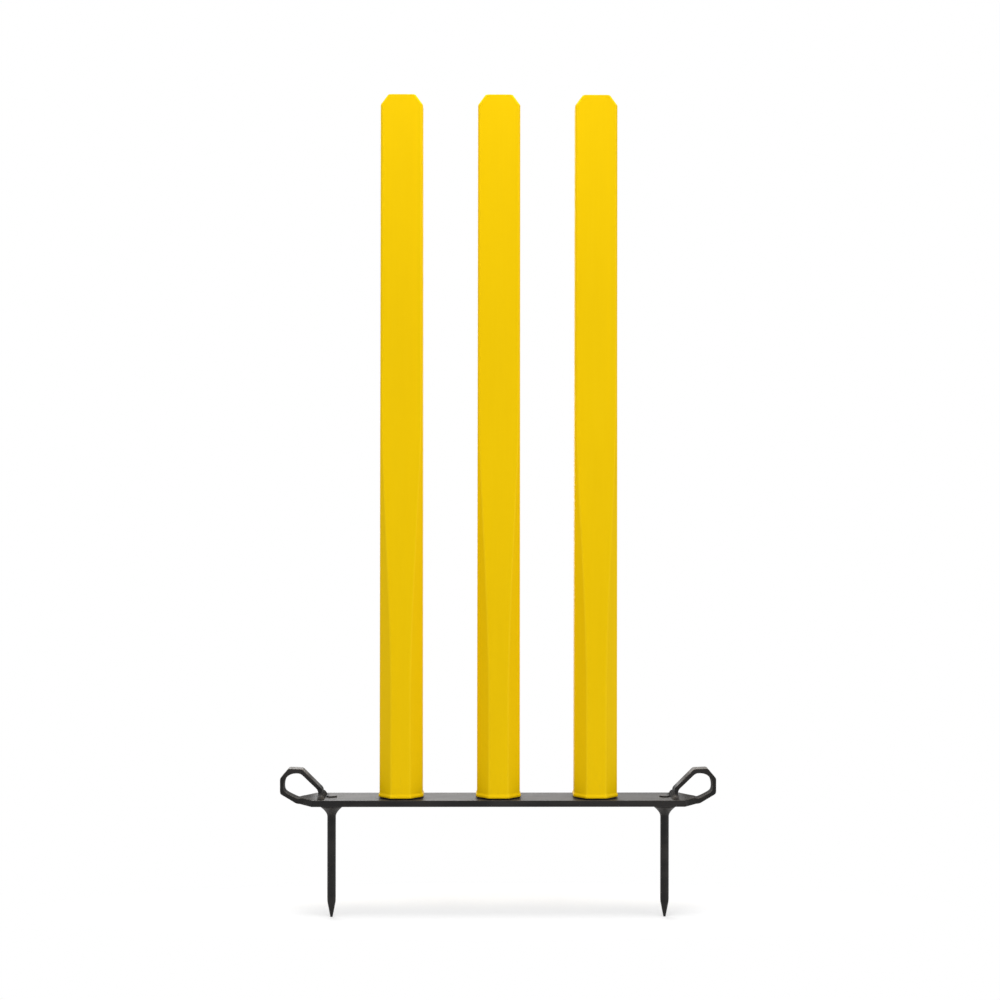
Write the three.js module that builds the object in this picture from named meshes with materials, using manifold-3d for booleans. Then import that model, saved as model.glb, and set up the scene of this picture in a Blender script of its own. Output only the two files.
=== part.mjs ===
// Spring-back cricket stumps. Three hollow moulded stumps stand in a row on a flat steel bar. Each one is pulled
// down on the bar by a tension spring inside its foot, so it tips over its heel when it is struck and stands up again.
// The bar's ends are drawn out and curled back as carrying loops, and two spikes below the bar go into the turf.
// Millimetres. X runs along the bar, -Y is the bowler's side, +Z is up, and the ground is at zero height.
import * as THREE from "three";
import { mergeVertices } from "three/addons/utils/BufferGeometryUtils.js";
import Module from "manifold-3d";

const wasm = await Module();
wasm.setup();

// The row of stumps
const stumpTop = 711.2; // the height in the laws of the game, 28 inches
const stumpPitch = 97.5;
const stumpNames = ["left", "middle", "right"];

// One stump: an octagon at the foot, whose front and back lean in to a flat blade above
const footAcross = 43;
const footFlat = 19.4; // width of the front flat between its two bevels
const headAcross = 42.4;
const bladeThickness = 20;
const bladeEdge = 1.8;
const taperStart = 100;
const taperEnd = 455;
const taperRings = 16;
const stumpWall = 3;
const headChamferWidth = 7.6;
const headChamferHeight = 10.3;
const lipProud = 1;
const lipRound = 1.5;
const lipBand = 2;
const lipSlope = 2.4;

// The bar and the loops at its ends
const barLength = 371;
const barThickness = 6.35; // quarter-inch flat bar
const barMargin = 3.5; // bar that shows on each side of a foot
const edgeBreak = 0.6;
const loopReach = 33.3;
const loopHeight = 35.5;
const loopStripDepth = 15;
const loopStripThickness = 3.6;
const loopEdgeBreak = 0.9;
const loopInnerRound = 9;
const loopTailRound = 3.5;
const loopFootSpread = 42;
const loopWeldRadius = 3;

// Corners of a loop's outer face, from the bar outwards, over and back down to the tail's foot. Each is a share of
// the reach beyond the bar's shoulder, a share of the loop's height, and a share of the strip's thickness there.
const loopCornerShares = [
  [0.395, 0, 1],
  [0.51, 0.034, 1.3],
  [0.949, 0.276, 1],
  [1, 0.397, 1],
  [1, 0.72, 1],
  [0.748, 1, 1.28],
  [0.334, 0.985, 1.18],
  [-0.306, 0.389, 1.06],
];
const tailCorners = 2; // corners at the end of that list, which are rounded tightly inside

// Spikes
const spikeLength = 114.5;
const spikeDiameter = 8.6;
const spikeCollarDiameter = 23;
const spikeCollarRim = 3.5;
const spikeFlareLength = 10;
const spikePointLength = 16;
const spikeTipDiameter = 2.2;
const spikeNeckDiameter = 8;
const spikeHeadRim = 1;
const spikeHeadHeight = 1.2;
const flarePower = 2.2;

// Spring, its pin in the stump and its eye bolt through the bar
const padThickness = 1.2;
const padInset = 0.2;
const springWire = 2.2;
const springMeanDiameter = 12;
const springCoilGap = 0.8;
const springLead = 0.8; // rise from a hook's widest point to the coil, past the hook's own radius
const hookTurnShare = 0.575; // share of a full turn that each hook goes round
const pinHeight = 76;
const pinDiameter = 6;
const pinHeadRim = 2.5;
const pinHeadHeight = 1.8;
const pinBossWall = 3.2;
const pinBossLength = 8;
const pinBossFloor = 2;
const boltDiameter = 6;
const boltFlangeRim = 3;
const boltFlangeHeight = 2;
const eyeInnerDiameter = 7.6;
const eyeWire = 3.6;
const eyeSink = 0.6;
const washerRim = 3.2;
const washerThickness = 0.7;
const nutWall = 1.7;
const nutThickness = 2.5; // thin nut, hidden from the front by the bar

// Clearances
const holeClearance = 0.3;
const seatGap = 0.1;
const hookClearance = 0.5;
const hookRoom = 0.9; // on each side of the pin inside a hook
const padHoleRoom = 1.5; // round the bolt's flange inside the pad
const weldGap = 1.3;
const overrun = 2;
const mergeDistance = 0.0001;

// Roundness of the small parts
const roundSides = 24;
const smallSides = 20;
const hexSides = 6;
const curlSteps = 8;
const wireSides = 5;
const flareSteps = 5;
const roundingSteps = 4;
const beadSides = 12;

// How finely the spring's gap to itself is measured
const samplesPerPoint = 4;
const neighbourWires = 3; // wire diameters along the wire that still count as the same place

// Derived sizes
const shoulder = barLength / 2;
const barDepth = footAcross + 2 * barMargin;
const footSeat = barThickness + padThickness + seatGap;
const spikeHole = spikeNeckDiameter + 2 * holeClearance;
const spikeHeadDiameter = spikeHole + 2 * spikeHeadRim;
const loopFootX = shoulder + loopCornerShares.at(-1)[0] * loopReach;
const loopFootThickness = loopCornerShares.at(-1)[2] * loopStripThickness;
const weldX = loopFootX + loopFootThickness / 2;
const spikeX = weldX - loopWeldRadius - weldGap - spikeHeadDiameter / 2;
const boltHole = boltDiameter + 2 * holeClearance;
const boltFlangeDiameter = boltDiameter + 2 * boltFlangeRim;
const boltEnd = -washerThickness - nutThickness;
const eyeMeanRadius = (eyeInnerDiameter + eyeWire) / 2;
const eyeCentre = barThickness + boltFlangeHeight + eyeMeanRadius + eyeWire / 2 - eyeSink;
const pinBore = pinDiameter + 2 * holeClearance;
const hookRadius = (pinDiameter + springWire) / 2 + hookRoom;

// Helpers for solids
function solidOf(geometry) {
  const bare = geometry.index ? geometry.toNonIndexed() : geometry.clone();
  bare.deleteAttribute("normal");
  bare.deleteAttribute("uv");
  const merged = mergeVertices(bare, mergeDistance);
  return new wasm.Manifold(
    new wasm.Mesh({
      numProp: 3,
      vertProperties: new Float32Array(merged.attributes.position.array),
      triVerts: new Uint32Array(merged.index.array),
    }),
  );
}

function geometryOf(solid) {
  const mesh = solid.getMesh();
  const points = new Float32Array(mesh.numVert * 3);
  for (let i = 0; i < mesh.numVert; i++) {
    points.set(mesh.vertProperties.subarray(i * mesh.numProp, i * mesh.numProp + 3), i * 3);
  }
  const geometry = new THREE.BufferGeometry();
  geometry.setAttribute("position", new THREE.BufferAttribute(points, 3));
  geometry.setIndex(new THREE.BufferAttribute(mesh.triVerts, 1));
  return geometry;
}

// Closed body through convex rings of points, each ring turning the same way about the line of travel.
function loft(rings) {
  const count = rings[0].length;
  const points = rings.flat().flatMap((p) => [p.x, p.y, p.z]);
  const faces = [];
  for (let r = 0; r + 1 < rings.length; r++) {
    for (let i = 0; i < count; i++) {
      const a = r * count + i;
      const b = r * count + ((i + 1) % count);
      faces.push(a, b, b + count, a, b + count, a + count);
    }
  }
  const last = (rings.length - 1) * count;
  for (let i = 1; i + 1 < count; i++) {
    faces.push(0, i + 1, i);
    faces.push(last, last + i, last + i + 1);
  }
  const geometry = new THREE.BufferGeometry();
  geometry.setAttribute("position", new THREE.Float32BufferAttribute(points, 3));
  geometry.setIndex(faces);
  return geometry;
}

// Upright round bar between two heights, on the Z axis.
function post(diameter, low, high, sides = roundSides) {
  const geometry = new THREE.CylinderGeometry(diameter / 2, diameter / 2, high - low, sides);
  return geometry.rotateX(Math.PI / 2).translate(0, 0, (low + high) / 2);
}

// Round bar along Y between two depths, at a height.
function crossRod(diameter, from, to, height, sides = roundSides) {
  const geometry = new THREE.CylinderGeometry(diameter / 2, diameter / 2, to - from, sides);
  return geometry.translate(0, (from + to) / 2, height);
}

// Plate with a given number of sides and a round hole.
function ringPlate(diameter, hole, low, high, sides) {
  const cutter = solidOf(post(hole, low - overrun, high + overrun, smallSides));
  return geometryOf(solidOf(post(diameter, low, high, sides)).subtract(cutter));
}

// Stump sections
function halfDepthAt(height) {
  const along = THREE.MathUtils.clamp((height - taperStart) / (taperEnd - taperStart), 0, 1);
  const leaned = THREE.MathUtils.smoothstep(along, 0, 1);
  return THREE.MathUtils.lerp(footAcross / 2, bladeThickness / 2, leaned);
}

function halfWidthAt(height) {
  return THREE.MathUtils.mapLinear(height, 0, stumpTop, footAcross / 2, headAcross / 2);
}

// Octagon of the stump at a height, grown outwards by a margin. Its four bevels stay in 45-degree planes, so the
// front flat widens as the front leans back, until only a narrow edge is left of each bevel.
function stumpRing(height, grow, narrowed = 0) {
  const width = halfWidthAt(height) - narrowed + grow;
  const depth = halfDepthAt(height) + grow;
  const bevelPlane = (footAcross + footFlat) / 2 + grow * Math.SQRT2;
  const flat = Math.min(bevelPlane - depth, width - bladeEdge);
  const side = depth - (width - flat);
  const corners = [
    [flat, -depth],
    [width, -side],
    [width, side],
    [flat, depth],
    [-flat, depth],
    [-width, side],
    [-width, -side],
    [-flat, -depth],
  ];
  return corners.map(([x, y]) => new THREE.Vector3(x, y, height));
}

function taperHeights() {
  const heights = [];
  for (let i = 0; i <= taperRings; i++) {
    heights.push(THREE.MathUtils.lerp(taperStart, taperEnd, i / taperRings));
  }
  return heights;
}

// Inside of the front wall at the pin's height
const pinWall = stumpWall - halfDepthAt(pinHeight);

function stump() {
  const lipTop = footSeat + lipRound + lipBand;
  const outer = loft([
    stumpRing(footSeat, lipProud - lipRound),
    stumpRing(footSeat + lipRound, lipProud),
    stumpRing(lipTop, lipProud),
    stumpRing(lipTop + lipSlope, 0),
    ...taperHeights().map((height) => stumpRing(height, 0)),
    stumpRing(stumpTop - headChamferHeight, 0),
    stumpRing(stumpTop, 0, headChamferWidth),
  ]);
  const hollow = loft([
    stumpRing(footSeat - overrun, -stumpWall),
    ...taperHeights().map((height) => stumpRing(height, -stumpWall)),
    stumpRing(stumpTop - headChamferHeight - stumpWall, -stumpWall),
  ]);
  const bossDiameter = pinBore + 2 * pinBossWall;
  const boss = crossRod(bossDiameter, pinWall - stumpWall / 2, pinWall + pinBossLength, pinHeight);
  const bore = crossRod(pinBore, pinWall + pinBossFloor, footAcross / 2 + overrun, pinHeight);
  return geometryOf(solidOf(outer).subtract(solidOf(hollow)).add(solidOf(boss)).subtract(solidOf(bore)));
}

// Pin across the hollow foot: its point sits in the blind boss of the front wall, its head on the back face.
function springPin() {
  const headDiameter = pinDiameter + 2 * pinHeadRim;
  const tip = pinWall + pinBossFloor + holeClearance;
  const seat = halfDepthAt(pinHeight - headDiameter / 2) + seatGap;
  const shank = crossRod(pinDiameter, tip, seat + pinHeadHeight / 2, pinHeight, smallSides);
  const head = crossRod(headDiameter, seat, seat + pinHeadHeight, pinHeight);
  return geometryOf(solidOf(shank).add(solidOf(head)));
}

function footPad() {
  const grow = lipProud - lipRound - padInset;
  const plate = loft([stumpRing(barThickness, grow), stumpRing(barThickness + padThickness, grow)]);
  const holeDiameter = boltFlangeDiameter + 2 * padHoleRoom;
  const hole = post(holeDiameter, barThickness - overrun, barThickness + padThickness + overrun);
  return geometryOf(solidOf(plate).subtract(solidOf(hole)));
}

function eyeBolt() {
  const eye = new THREE.TorusGeometry(eyeMeanRadius, eyeWire / 2, curlSteps, smallSides);
  eye.rotateY(Math.PI / 2).translate(0, 0, eyeCentre);
  const flange = post(boltFlangeDiameter, barThickness, barThickness + boltFlangeHeight);
  const shank = post(boltDiameter, boltEnd, barThickness + boltFlangeHeight / 2, smallSides);
  return geometryOf(solidOf(eye).add(solidOf(flange)).add(solidOf(shank)));
}

function boltWasher() {
  return ringPlate(boltHole + 2 * washerRim, boltHole, -washerThickness, 0, smallSides);
}

function lockNut() {
  const acrossCorners = (boltHole + 2 * nutWall) / Math.cos(Math.PI / hexSides);
  return ringPlate(acrossCorners, boltHole, boltEnd, -washerThickness, hexSides);
}

// Centre line of the tension spring: a hook in the eye bolt, the coil, and a hook over the pin, both hooks in the
// plane across the pin.
function springPoints() {
  const coil = springMeanDiameter / 2;
  const lowCentre = eyeCentre + eyeInnerDiameter / 2 - hookClearance - springWire / 2 + hookRadius;
  const highCentre = pinHeight + pinDiameter / 2 + hookClearance + springWire / 2 - hookRadius;
  const coilLow = lowCentre + hookRadius + springLead;
  const coilHigh = highCentre - hookRadius - springLead;
  const hookTurn = 2 * Math.PI * hookTurnShare;
  const turns = Math.floor((coilHigh - coilLow) / (springWire + springCoilGap));
  const points = [];
  for (let i = 0; i <= curlSteps; i++) {
    const angle = hookTurn * (i / curlSteps - 1);
    points.push(new THREE.Vector3(hookRadius * Math.cos(angle), 0, lowCentre + hookRadius * Math.sin(angle)));
  }
  for (let i = 0; i <= turns * curlSteps; i++) {
    const angle = (2 * Math.PI * i) / curlSteps;
    const height = THREE.MathUtils.lerp(coilLow, coilHigh, i / (turns * curlSteps));
    points.push(new THREE.Vector3(coil * Math.cos(angle), coil * Math.sin(angle), height));
  }
  for (let i = 0; i <= curlSteps; i++) {
    const angle = (hookTurn * i) / curlSteps;
    points.push(new THREE.Vector3(hookRadius * Math.cos(angle), 0, highCentre + hookRadius * Math.sin(angle)));
  }
  return points;
}

// Least distance between the wire's surfaces where the wire passes itself, leaving out neighbours along it.
function leastGap(points, wire) {
  const curve = new THREE.CatmullRomCurve3(points, false, "centripetal");
  const samples = curve.getSpacedPoints(points.length * samplesPerPoint);
  const step = curve.getLength() / (samples.length - 1);
  const apart = Math.ceil((neighbourWires * wire) / step);
  let least = Infinity;
  for (let i = 0; i < samples.length; i++) {
    for (let j = i + apart; j < samples.length; j++) {
      least = Math.min(least, samples[i].distanceTo(samples[j]) - wire);
    }
  }
  return least;
}

function returnSpring() {
  const points = springPoints();
  const section = new THREE.Shape();
  for (let i = 0; i < wireSides; i++) {
    const angle = (2 * Math.PI * i) / wireSides;
    const [x, y] = [(springWire / 2) * Math.cos(angle), (springWire / 2) * Math.sin(angle)];
    if (i === 0) section.moveTo(x, y);
    else section.lineTo(x, y);
  }
  section.closePath();
  const curve = new THREE.CatmullRomCurve3(points, false, "centripetal");
  return new THREE.ExtrudeGeometry(section, { steps: points.length - 1, extrudePath: curve });
}

// Eight corners of a rectangle with broken edges, about its centre.
function brokenRectangle(halfWidth, halfHeight, broken) {
  const w = halfWidth - broken;
  const h = halfHeight - broken;
  return [
    [w, -halfHeight],
    [halfWidth, -h],
    [halfWidth, h],
    [w, halfHeight],
    [-w, halfHeight],
    [-halfWidth, h],
    [-halfWidth, -h],
    [-w, -halfHeight],
  ];
}

// Bar section at a place along X.
function barRing(x, halfDepth, low, high, broken) {
  const corners = brokenRectangle(halfDepth, (high - low) / 2, broken);
  return corners.map(([y, z]) => new THREE.Vector3(x, y, (low + high) / 2 + z));
}

// Level section of a tail's foot, which spreads along Y.
function footRing(halfSpread, height) {
  const corners = brokenRectangle(loopFootThickness / 2, halfSpread, edgeBreak);
  return corners.map(([x, y]) => new THREE.Vector3(weldX + x, y, height));
}

function loopCorners() {
  return loopCornerShares.map(
    ([out, up]) => new THREE.Vector2(shoulder + out * loopReach, up * loopHeight),
  );
}

// Line of corners moved to its left with mitred corners, each corner by its own distance.
function offsetLeft(corners, distances) {
  const runs = corners.slice(1).map((corner, i) => corner.clone().sub(corners[i]).normalize());
  return corners.map((corner, i) => {
    const into = runs[Math.max(i - 1, 0)];
    const out = runs[Math.min(i, runs.length - 1)];
    const along = into.clone().add(out).normalize();
    const left = new THREE.Vector2(-along.y, along.x);
    return corner.clone().addScaledVector(left, distances[i] / along.dot(into));
  });
}

// Place on the way from a corner to its neighbour where the corner's rounding ends, halfway at most.
function roundingEnd(corner, neighbour, reach) {
  return corner.clone().lerp(neighbour, Math.min(reach / corner.distanceTo(neighbour), 1 / 2));
}

// Strip of the right loop, from inside the bar's end round to the foot of its tail: a faceted outer face and a
// rounded inner one.
function loopStrip() {
  const outer = loopCorners();
  const thicknesses = loopCornerShares.map(([, , share]) => share * loopStripThickness);
  outer.unshift(new THREE.Vector2(shoulder, 0));
  thicknesses.unshift(thicknesses[0]);
  outer.push(new THREE.Vector2(loopFootX, barThickness / 2));
  thicknesses.push(loopFootThickness);
  const back = offsetLeft(outer, thicknesses).toReversed();
  const shape = new THREE.Shape();
  shape.moveTo(outer[0].x, outer[0].y);
  outer.slice(1).forEach((corner) => shape.lineTo(corner.x, corner.y));
  shape.lineTo(back[0].x, back[0].y);
  for (let i = 1; i + 1 < back.length; i++) {
    const reach = i > tailCorners ? loopInnerRound : loopTailRound;
    const start = roundingEnd(back[i], back[i - 1], reach);
    const end = roundingEnd(back[i], back[i + 1], reach);
    if (shape.currentPoint.distanceTo(start) > edgeBreak) shape.lineTo(start.x, start.y);
    shape.quadraticCurveTo(back[i].x, back[i].y, end.x, end.y);
  }
  shape.lineTo(back.at(-1).x, back.at(-1).y);
  shape.closePath();
  const geometry = new THREE.ExtrudeGeometry(shape, {
    depth: loopStripDepth - 2 * loopEdgeBreak,
    curveSegments: roundingSteps,
    bevelThickness: loopEdgeBreak,
    bevelSize: loopEdgeBreak,
    bevelOffset: -loopEdgeBreak,
    bevelSegments: 1,
  });
  return geometry.translate(0, 0, loopEdgeBreak - loopStripDepth / 2).rotateX(Math.PI / 2);
}

// Right loop with the foot of its tail spread along the bar's depth, and the weld bead that holds it down.
function loop() {
  const footTop = loopCorners().at(-1).y;
  const foot = loft([
    footRing(loopFootSpread / 2, barThickness / 2),
    footRing(loopFootSpread / 2, barThickness),
    footRing(loopStripDepth / 2, footTop),
  ]);
  const beadLength = loopFootSpread - 2 * loopWeldRadius;
  const bead = new THREE.CapsuleGeometry(loopWeldRadius, beadLength, roundingSteps, beadSides);
  bead.translate(weldX, 0, barThickness);
  return solidOf(loopStrip()).add(solidOf(foot)).add(solidOf(bead));
}

function baseBar() {
  const [rise, bend] = loopCorners();
  const bendThickness = loopCornerShares[1][2] * loopStripThickness;
  const stripDepth = loopStripDepth / 2;
  const stations = [
    [shoulder, barDepth / 2, 0, barThickness, edgeBreak],
    [rise.x, stripDepth, rise.y, rise.y + barThickness, loopEdgeBreak],
    [bend.x, stripDepth, bend.y, bend.y + bendThickness, loopEdgeBreak],
  ];
  const mirrored = stations.toReversed().map(([x, ...rest]) => [-x, ...rest]);
  let bar = solidOf(loft([...mirrored, ...stations].map((station) => barRing(...station))));
  const rightLoop = loop();
  bar = bar.add(rightLoop).add(rightLoop.mirror([1, 0, 0]));
  for (const x of [-spikeX, spikeX]) {
    bar = bar.subtract(solidOf(post(spikeHole, -overrun, barThickness + overrun).translate(x, 0, 0)));
  }
  for (const x of [-stumpPitch, 0, stumpPitch]) {
    bar = bar.subtract(solidOf(post(boltHole, -overrun, barThickness + overrun, smallSides).translate(x, 0, 0)));
  }
  return geometryOf(bar);
}

// Spike turned from one rod: a point, the rod, a flared collar under the bar, a neck through it and a riveted head.
function spike() {
  const rod = spikeDiameter / 2;
  const collar = spikeCollarDiameter / 2;
  const neck = spikeNeckDiameter / 2;
  const head = spikeHeadDiameter / 2;
  const headSeat = barThickness + seatGap;
  const headTop = headSeat + spikeHeadHeight;
  const profile = [
    [0, -spikeLength],
    [spikeTipDiameter / 2, -spikeLength],
    [rod, spikePointLength - spikeLength],
  ];
  for (let i = 0; i <= flareSteps; i++) {
    const up = i / flareSteps;
    const radius = rod + (collar - rod) * Math.pow(up, flarePower);
    profile.push([radius, -spikeCollarRim - spikeFlareLength * (1 - up)]);
  }
  profile.push([collar, -seatGap], [neck, -seatGap], [neck, headSeat]);
  profile.push([head, headSeat], [head, headTop - edgeBreak], [head - edgeBreak, headTop], [0, headTop]);
  const points = profile.map(([radius, height]) => new THREE.Vector2(radius, height));
  return new THREE.LatheGeometry(points, roundSides).rotateX(Math.PI / 2);
}

// Finishes
const finishes = {
  yellowPlastic: { color: 0xf0c400, roughness: 0.45, metalness: 0 },
  blackSteel: { color: 0x35322f, roughness: 0.5, metalness: 0.6 },
  rubber: { color: 0x151515, roughness: 0.9, metalness: 0 },
  zincSteel: { color: 0xa9abad, roughness: 0.35, metalness: 1 },
  springSteel: { color: 0x6d6f72, roughness: 0.4, metalness: 1 },
};

function piece(name, geometry, finish, x = 0) {
  const mesh = new THREE.Mesh(geometry, new THREE.MeshStandardMaterial(finishes[finish]));
  mesh.name = name;
  mesh.position.x = x;
  return mesh;
}

const wicket = new THREE.Group();
const base = new THREE.Group();
wicket.add(base);
base.add(piece("base_bar", baseBar(), "blackSteel"));

base.add(piece("left_spike", spike(), "blackSteel", -spikeX));
base.add(piece("right_spike", spike(), "blackSteel", spikeX));

console.log("least gap of the spring wire to itself, mm:", leastGap(springPoints(), springWire).toFixed(2));

stumpNames.forEach((name, i) => {
  const stand = new THREE.Group();
  stand.position.x = (i - 1) * stumpPitch;
  stand.add(piece(`${name}_stump`, stump(), "yellowPlastic"));
  stand.add(piece(`${name}_spring_pin`, springPin(), "zincSteel"));
  stand.add(piece(`${name}_return_spring`, returnSpring(), "springSteel"));
  stand.add(piece(`${name}_foot_pad`, footPad(), "rubber"));
  stand.add(piece(`${name}_eye_bolt`, eyeBolt(), "zincSteel"));
  stand.add(piece(`${name}_bolt_washer`, boltWasher(), "zincSteel"));
  stand.add(piece(`${name}_lock_nut`, lockNut(), "zincSteel"));
  wicket.add(stand);
});

export default wicket;
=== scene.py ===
# Spring-back cricket stumps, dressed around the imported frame.
# Shapes are worked out in millimetres and go into the meshes in metres.
import math

import bpy
import numpy as np
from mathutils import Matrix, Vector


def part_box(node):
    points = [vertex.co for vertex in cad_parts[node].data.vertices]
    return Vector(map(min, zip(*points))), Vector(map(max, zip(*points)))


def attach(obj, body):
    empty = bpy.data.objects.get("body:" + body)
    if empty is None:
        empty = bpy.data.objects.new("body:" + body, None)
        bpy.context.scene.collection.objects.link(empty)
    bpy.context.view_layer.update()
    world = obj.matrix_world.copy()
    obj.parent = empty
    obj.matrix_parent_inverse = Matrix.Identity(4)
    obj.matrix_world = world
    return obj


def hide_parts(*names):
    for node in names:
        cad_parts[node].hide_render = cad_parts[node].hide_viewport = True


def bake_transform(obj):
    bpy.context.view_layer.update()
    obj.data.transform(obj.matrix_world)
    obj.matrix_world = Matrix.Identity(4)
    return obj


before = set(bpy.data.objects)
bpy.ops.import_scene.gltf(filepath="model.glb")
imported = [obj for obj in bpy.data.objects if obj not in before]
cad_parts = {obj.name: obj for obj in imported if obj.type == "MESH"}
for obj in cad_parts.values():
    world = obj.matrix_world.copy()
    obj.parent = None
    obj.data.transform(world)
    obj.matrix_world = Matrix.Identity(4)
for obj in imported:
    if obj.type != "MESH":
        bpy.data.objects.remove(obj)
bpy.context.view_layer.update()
print("Frame loaded with", len(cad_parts), "nodes")

mm = 0.001
sides = {"left": -1, "right": 1}
stumpSpacing = 97.5
stumpPlaces = {"left": -stumpSpacing, "middle": 0.0, "right": stumpSpacing}
barTop = 6.35
pinHeight = 76.0
touchGap = 0.02  # between faces that lie on each other
poleRadius = 0.3  # of the small ring at the middle of a turned end


def addObject(name, data):
    made = bpy.data.objects.new(name, data)
    bpy.context.scene.collection.objects.link(made)
    return made


# Camera

camera = {
    "place": (-19.0, -1809.9, 304.9),
    "tilt": 90.0,  # degrees, as the next two; 90 is level
    "heading": -0.645,
    "roll": -0.07,
    "focalPixels": 1797.6,  # focal length in pixels of the square picture
    "picturePixels": 1000.0,
    "sensor": 36.0,  # millimetres
    "farthest": 50.0,  # metres
}


def makeCamera():
    data = bpy.data.cameras.new("camera")
    data.sensor_width = camera["sensor"]
    data.lens = camera["focalPixels"] / camera["picturePixels"] * camera["sensor"]
    data.clip_end = camera["farthest"]
    made = addObject("camera", data)
    made.location = np.array(camera["place"]) * mm
    made.rotation_euler = np.radians([camera["tilt"], camera["roll"], camera["heading"]])
    bpy.context.scene.camera = made


makeCamera()
print("Camera set")


# Shader maths

class Socket:  # an output whose sums, differences and products add Math nodes
    def __init__(self, recipe, output):
        self.recipe = recipe
        self.output = output

    def maths(self, operation, *others, first=True):
        values = [self, *others] if first else [*others, self]
        return self.recipe.node("ShaderNodeMath", {"operation": operation}, dict(enumerate(values)))

    def __add__(self, other):
        return self.maths("ADD", other)

    def __sub__(self, other):
        return self.maths("SUBTRACT", other)

    def __rsub__(self, other):
        return self.maths("SUBTRACT", other, first=False)

    def __mul__(self, other):
        return self.maths("MULTIPLY", other)

    __radd__ = __add__
    __rmul__ = __mul__

    def between(self, low, high):  # 0 below low, 1 above high, smooth in between
        settings = {"interpolation_type": "SMOOTHSTEP"}
        return self.recipe.node("ShaderNodeMapRange", settings, {0: self, 1: low, 2: high})


class Recipe:  # the node tree of the world or a material, with its finish's values
    def __init__(self, owner, values=None):
        owner.use_nodes = True
        self.owner = owner
        self.values = values
        self.tree = owner.node_tree
        self.tree.nodes.clear()

    def node(self, kind, settings=None, inputs=None, output=0):
        made = self.tree.nodes.new(kind)
        for name, value in (settings or {}).items():
            setattr(made, name, value)
        for name, value in (inputs or {}).items():
            if isinstance(value, Socket):
                self.tree.links.new(value.output, made.inputs[name])
            else:
                made.inputs[name].default_value = value
        return Socket(self, made.outputs[output]) if len(made.outputs) else made

    def place(self, scale=(1, 1, 1)):  # object coordinates in millimetres, stretched
        coordinates = self.node("ShaderNodeTexCoord", output="Object")
        inMillimetres = tuple(part / mm for part in scale)
        return self.node("ShaderNodeMapping", inputs={"Vector": coordinates, "Scale": inMillimetres})

    def parts(self, where):  # its x, y and z
        return [self.node("ShaderNodeSeparateXYZ", {}, {0: where}, output=name) for name in "XYZ"]

    def patterns(self):  # a noise for each of the finish's patterns
        made = []
        for stretch, size, detail, roughness in self.values["patterns"].values():
            inputs = {"Vector": self.place(stretch), "Scale": 1 / size}
            inputs.update(Detail=detail, Roughness=roughness)
            made.append(self.node("ShaderNodeTexNoise", {}, inputs))
        return made

    def measure(self, name):  # a value kept on the piece's own points
        settings = {"attribute_type": "GEOMETRY", "attribute_name": name}
        return self.node("ShaderNodeAttribute", settings, output="Fac")

    def mix(self, factor, low, high):  # the first colour where the factor is 0, the second where it is 1
        pick = {0: factor, 6: self.colour(low), 7: self.colour(high)}
        return self.node("ShaderNodeMix", {"data_type": "RGBA"}, pick, output=2)

    def colour(self, value):
        return value if isinstance(value, Socket) else (*value, 1)

    def mask(self, name, value):  # 0 below the finish's span of that name, 1 above it
        return value.between(*self.values["spans"][name])

    def layer(self, name, mask, under):  # the finish's layer of that name over a colour
        shade, strength = self.values["layers"][name]
        return self.mix(mask * strength, under, shade)

    def summed(self, name, **parts):  # the plain value, if there is one, and each part times its amount
        amounts = self.values[name]
        total = amounts.get("plain", 0)
        for part, value in parts.items():
            total = total + value * amounts[part]
        return total

    def bump(self, **parts):
        relief = self.values["relief"]
        inputs = {"Height": self.summed("relief", **parts)}
        inputs.update(Distance=relief["depth"] * mm, Strength=relief["strength"])
        return self.node("ShaderNodeBump", {}, inputs)

    def finish(self, **sockets):
        named = {name.replace("_", " "): value for name, value in sockets.items()}
        shader = self.node("ShaderNodeBsdfPrincipled", {}, named)
        self.node("ShaderNodeOutputMaterial", {}, {"Surface": shader})
        return self.owner


# Surfaces

surface = {
    "sameWithin": 1e-4,  # points nearer than this are one
    "mostOfSideShare": 0.49,  # a rounded corner takes no more of the side beside it
    "stepsPerSpread": 12,
    "spreadsAside": 4,  # where the bell curve ends
    "shadingWeight": 80,  # how strongly the larger faces turn a point's shading
}


def gridFaces(rows, columns, endless=False):
    # The quads of a grid: its columns wrap round, and where it is endless its rows do too.
    row = np.arange(rows if endless else rows - 1)[:, None]
    column = np.arange(columns)[None, :]
    nextRow = (row + 1) % rows
    nextColumn = (column + 1) % columns
    corners = [
        row * columns + column,
        row * columns + nextColumn,
        nextRow * columns + nextColumn,
        nextRow * columns + column,
    ]
    return np.stack(corners, -1).reshape(-1, 4)


def facingUp(points, faces):
    # The upward part of each point's normal, which is the sum over the quads round it of the cross product
    # of their diagonals, scaled to length 1. What points down gets 0.
    a, b, c, d = (points[faces[:, k]] for k in range(4))
    normal = np.cross(c - a, d - b)
    total = np.zeros_like(points)
    for k in range(4):
        np.add.at(total, faces[:, k], normal)
    length = np.linalg.norm(total, axis=1)
    length[length == 0] = 1
    return np.clip(total[:, 2] / length, 0, 1)


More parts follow.
